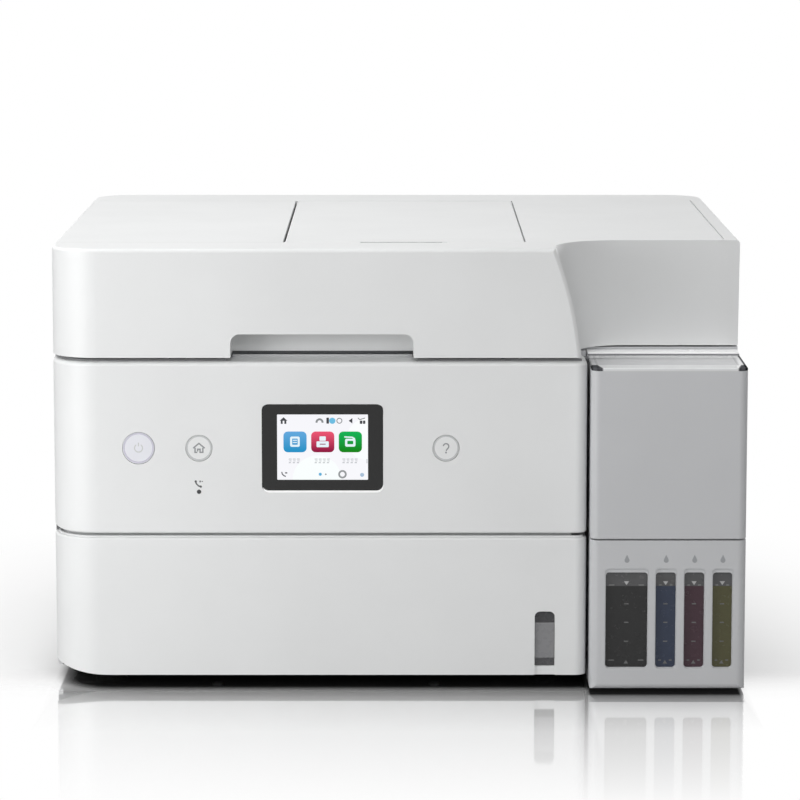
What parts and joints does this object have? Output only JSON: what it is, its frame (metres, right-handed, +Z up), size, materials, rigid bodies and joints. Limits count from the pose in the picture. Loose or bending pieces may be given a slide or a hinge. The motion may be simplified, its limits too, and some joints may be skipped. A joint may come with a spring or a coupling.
{
  "type": "inkjet printer",
  "caption": "Ink-tank inkjet all-in-one with sheet-fed scanner cover, tilting touch panel, pull-out paper cassette and a side tank unit with level windows.",
  "frame": {"origin": "centre of the footprint on the floor", "axes": "+X to the right seen from the front, +Y to the back, +Z up"},
  "size_m": [0.375, 0.347, 0.24],
  "materials": {
    "white_plastic": "fine satin texture",
    "grey_plastic": "satin",
    "light_grey_plastic": "satin",
    "dark_plastic": "fine texture",
    "silver_plastic": "silver satin",
    "smoke_plastic": "smoked gloss",
    "clear_plastic": "clear gloss",
    "screen_black": "gloss",
    "display_lit": "lit panel",
    "key_white": "satin",
    "led_lens": "gloss",
    "foot_rubber": "matte",
    "roller_rubber": "matte",
    "belt_rubber": "matte",
    "cap_black": "satin",
    "cap_cyan": "satin",
    "cap_magenta": "satin",
    "cap_yellow": "satin",
    "flat_glass": "polished",
    "mat_foam": "white sheet",
    "steel": "zinc plated",
    "brass_part": "turned",
    "board_green": "solder mask"
  },
  "bodies": {
    "base": {"bottom_case": "grey_plastic", "side_cover_left": "white_plastic", "side_cover_right": "white_plastic", "rear_panel": "white_plastic", "rubber_feet": "foot_rubber", "front_frame": "dark_plastic", "middle_deck": "dark_plastic", "chassis": "steel", "platen": "dark_plastic", "capping_station": "dark_plastic", "carriage_belt": "belt_rubber", "drive_motor": "steel", "main_board": "board_green", "rear_sockets": "dark_plastic", "power_supply": "dark_plastic", "tank_housing": "silver_plastic", "ink_tanks": "smoke_plastic"},
    "rear_door": {"rear_door": "white_plastic"},
    "output_tray": {"output_tray": "white_plastic"},
    "cassette": {"cassette_front": "white_plastic", "level_window": "smoke_plastic", "cassette_tray": "light_grey_plastic"},
    "guide_left": {"paper_guide_left": "light_grey_plastic"},
    "guide_right": {"paper_guide_right": "light_grey_plastic"},
    "guide_end": {"paper_guide_end": "light_grey_plastic"},
    "panel": {"control_panel": "white_plastic", "panel_back": "dark_plastic", "screen_glass": "screen_black", "display": "display_lit", "status_led": "led_lens"},
    "key_power": {"key_power": "key_white"},
    "key_home": {"key_home": "key_white"},
    "key_help": {"key_help": "key_white"},
    "tank_lid": {"tank_lid": "silver_plastic", "lid_top": "clear_plastic"},
    "cap_bk": {"cap_bk": "cap_black"},
    "cap_c": {"cap_c": "cap_cyan"},
    "cap_m": {"cap_m": "cap_magenta"},
    "cap_y": {"cap_y": "cap_yellow"},
    "scanner": {"scanner_tub": "white_plastic", "scanner_frame": "grey_plastic", "scan_glass": "flat_glass", "scan_rail": "steel"},
    "scan_bar": {"scan_carriage": "dark_plastic"},
    "cover": {"cover_housing": "white_plastic", "cover_base": "light_grey_plastic", "document_mat": "mat_foam", "adf_frame": "dark_plastic"},
    "adf_cover": {"adf_cover": "white_plastic"},
    "adf_tray": {"adf_tray": "white_plastic"},
    "adf_guide": {"adf_edge_guide": "light_grey_plastic"},
    "adf_feed": {"adf_feed_roller": "roller_rubber"},
    "adf_pick": {"adf_pick_roller": "roller_rubber"},
    "carriage": {"carriage": "dark_plastic", "print_head": "steel"},
    "drive_pulley": {"drive_pulley": "brass_part"},
    "idler_pulley": {"idler_pulley": "light_grey_plastic"},
    "feed_roller": {"feed_roller": "roller_rubber"},
    "eject_roller": {"eject_roller": "roller_rubber"},
    "pickup_roller": {"pickup_roller": "roller_rubber"}
  },
  "joints": [
    {"name": "rear_door_hinge", "type": "hinge", "parent": "base", "child": "rear_door", "pos_m": [-0.0165, 0.17225, 0.0422], "axis": [-1, 0, 0], "range_deg": [0, 45]},
    {"name": "panel_tilt", "type": "hinge", "parent": "base", "child": "panel", "pos_m": [-0.043, -0.155, 0.1705], "axis": [-1, 0, 0], "range_deg": [0, 50]},
    {"name": "output_tray_slide", "type": "slide", "parent": "base", "child": "output_tray", "axis": [0, -1, 0], "range_m": [0, 0.0682]},
    {"name": "cassette_slide", "type": "slide", "parent": "base", "child": "cassette", "axis": [0, -1, 0], "range_m": [0, 0.2]},
    {"name": "guide_left_slide", "type": "slide", "parent": "cassette", "child": "guide_left", "axis": [1, 0, 0], "range_m": [0, 0.05]},
    {"name": "guide_right_slide", "type": "slide", "parent": "cassette", "child": "guide_right", "axis": [-1, 0, 0], "range_m": [0, 0.05]},
    {"name": "guide_end_slide", "type": "slide", "parent": "cassette", "child": "guide_end", "axis": [0, -1, 0], "range_m": [0, 0.1]},
    {"name": "power_key", "type": "slide", "parent": "panel", "child": "key_power", "axis": [0, 1, 0], "range_m": [0, 0.0008], "stiffness_N_per_m": 400},
    {"name": "home_key", "type": "slide", "parent": "panel", "child": "key_home", "axis": [0, 1, 0], "range_m": [0, 0.0008], "stiffness_N_per_m": 400},
    {"name": "help_key", "type": "slide", "parent": "panel", "child": "key_help", "axis": [0, 1, 0], "range_m": [0, 0.0008], "stiffness_N_per_m": 400},
    {"name": "tank_lid_hinge", "type": "hinge", "parent": "base", "child": "tank_lid", "pos_m": [0.145, -0.122, 0.1743], "axis": [-1, 0, 0], "range_deg": [0, 60]},
    {"name": "cap_bk_hinge", "type": "hinge", "parent": "base", "child": "cap_bk", "pos_m": [0.1233, -0.127, 0.095], "axis": [-1, 0, 0], "range_deg": [0, 80]},
    {"name": "cap_c_hinge", "type": "hinge", "parent": "base", "child": "cap_c", "pos_m": [0.1444, -0.127, 0.095], "axis": [-1, 0, 0], "range_deg": [0, 80]},
    {"name": "cap_m_hinge", "type": "hinge", "parent": "base", "child": "cap_m", "pos_m": [0.15975, -0.127, 0.095], "axis": [-1, 0, 0], "range_deg": [0, 80]},
    {"name": "cap_y_hinge", "type": "hinge", "parent": "base", "child": "cap_y", "pos_m": [0.17495, -0.127, 0.095], "axis": [-1, 0, 0], "range_deg": [0, 80]},
    {"name": "scanner_lift", "type": "hinge", "parent": "base", "child": "scanner", "pos_m": [0, 0.1675, 0.146], "axis": [-1, 0, 0], "range_deg": [0, 28]},
    {"name": "scan_bar_slide", "type": "slide", "parent": "scanner", "child": "scan_bar", "axis": [1, 0, 0], "range_m": [0, 0.3]},
    {"name": "cover_hinge", "type": "hinge", "parent": "scanner", "child": "cover", "pos_m": [0, 0.1675, 0.1865], "axis": [-1, 0, 0], "range_deg": [0, 75]},
    {"name": "adf_cover_hinge", "type": "hinge", "parent": "cover", "child": "adf_cover", "pos_m": [-0.18625, 0.0025, 0.21945], "axis": [0, -1, 0], "range_deg": [0, 70]},
    {"name": "adf_tray_hinge", "type": "hinge", "parent": "cover", "child": "adf_tray", "pos_m": [0.0678, 0.0035, 0.2386], "axis": [0, 1, 0], "range_deg": [0, 105]},
    {"name": "adf_guide_slide", "type": "slide", "parent": "cover", "child": "adf_guide", "axis": [0, 1, 0], "range_m": [0, 0.05]},
    {"name": "adf_feed_spin", "type": "hinge", "parent": "cover", "child": "adf_feed", "pos_m": [-0.125, 0.0025, 0.206], "axis": [0, 1, 0], "continuous": true},
    {"name": "adf_pick_spin", "type": "hinge", "parent": "cover", "child": "adf_pick", "pos_m": [-0.078, 0.0025, 0.223], "axis": [0, 1, 0], "continuous": true},
    {"name": "carriage_slide", "type": "slide", "parent": "base", "child": "carriage", "axis": [-1, 0, 0], "range_m": [0, 0.268]},
    {"name": "drive_pulley_spin", "type": "hinge", "parent": "base", "child": "drive_pulley", "pos_m": [0.168, 0.06, 0.131], "axis": [0, 1, 0], "continuous": true},
    {"name": "idler_pulley_spin", "type": "hinge", "parent": "base", "child": "idler_pulley", "pos_m": [-0.168, 0.06, 0.131], "axis": [0, 1, 0], "continuous": true},
    {"name": "feed_spin", "type": "hinge", "parent": "base", "child": "feed_roller", "pos_m": [0, 0.0525, 0.094], "axis": [1, 0, 0], "continuous": true},
    {"name": "eject_spin", "type": "hinge", "parent": "base", "child": "eject_roller", "pos_m": [0, -0.013, 0.093], "axis": [1, 0, 0], "continuous": true},
    {"name": "pickup_spin", "type": "hinge", "parent": "base", "child": "pickup_roller", "pos_m": [-0.038, 0.085, 0.066], "axis": [1, 0, 0], "continuous": true}
  ],
  "couplings": [
    {"joint": "output_tray_slide", "follows": "panel_tilt", "m_per_rad": 0.078},
    {"joint": "guide_right_slide", "follows": "guide_left_slide", "ratio": 1},
    {"joint": "adf_pick_spin", "follows": "adf_feed_spin", "ratio": 2},
    {"joint": "drive_pulley_spin", "follows": "carriage_slide", "rad_per_m": 181.8},
    {"joint": "idler_pulley_spin", "follows": "carriage_slide", "rad_per_m": 181.8},
    {"joint": "eject_spin", "follows": "feed_spin", "ratio": 1.1}
  ]
}
